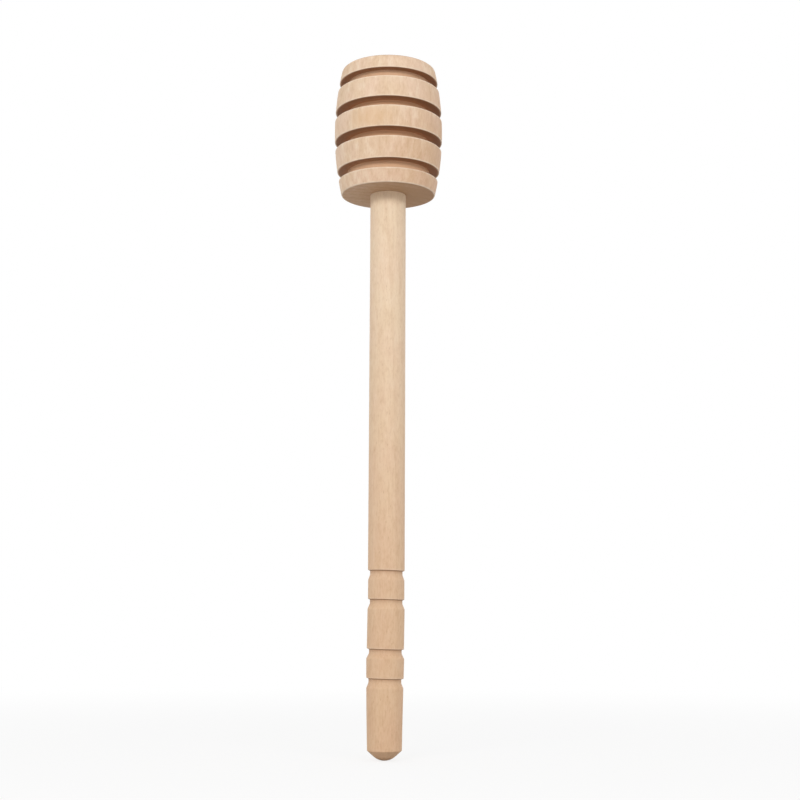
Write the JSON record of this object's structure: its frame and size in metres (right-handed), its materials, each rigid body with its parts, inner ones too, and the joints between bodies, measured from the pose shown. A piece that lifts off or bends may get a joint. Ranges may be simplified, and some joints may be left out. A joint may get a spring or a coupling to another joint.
{
  "type": "honey dipper",
  "caption": "Wooden honey dipper: a barrel-shaped head with square-cut grooves on a slim round handle with a notched grip, for lifting and drizzling honey.",
  "frame": {"origin": "nose of the handle's tip, the lowest point of the dipper as it is held upright, head uppermost", "axes": "+Z along the dipper's axis, from the tip of the handle to the free end of the head; X and Y are alike, because every piece is round about that axis"},
  "size_m": [0.0238, 0.0238, 0.15],
  "materials": {
    "head_wood": "sanded, unfinished, pale fine-grained wood",
    "handle_wood": "sanded, unfinished, pale fine-grained wood",
    "cured_glue": "cured wood glue, dull and slightly yellow"
  },
  "bodies": {
    "root": {"head": "head_wood", "handle": "handle_wood", "glue_film": "cured_glue"}
  },
  "joints": []
}
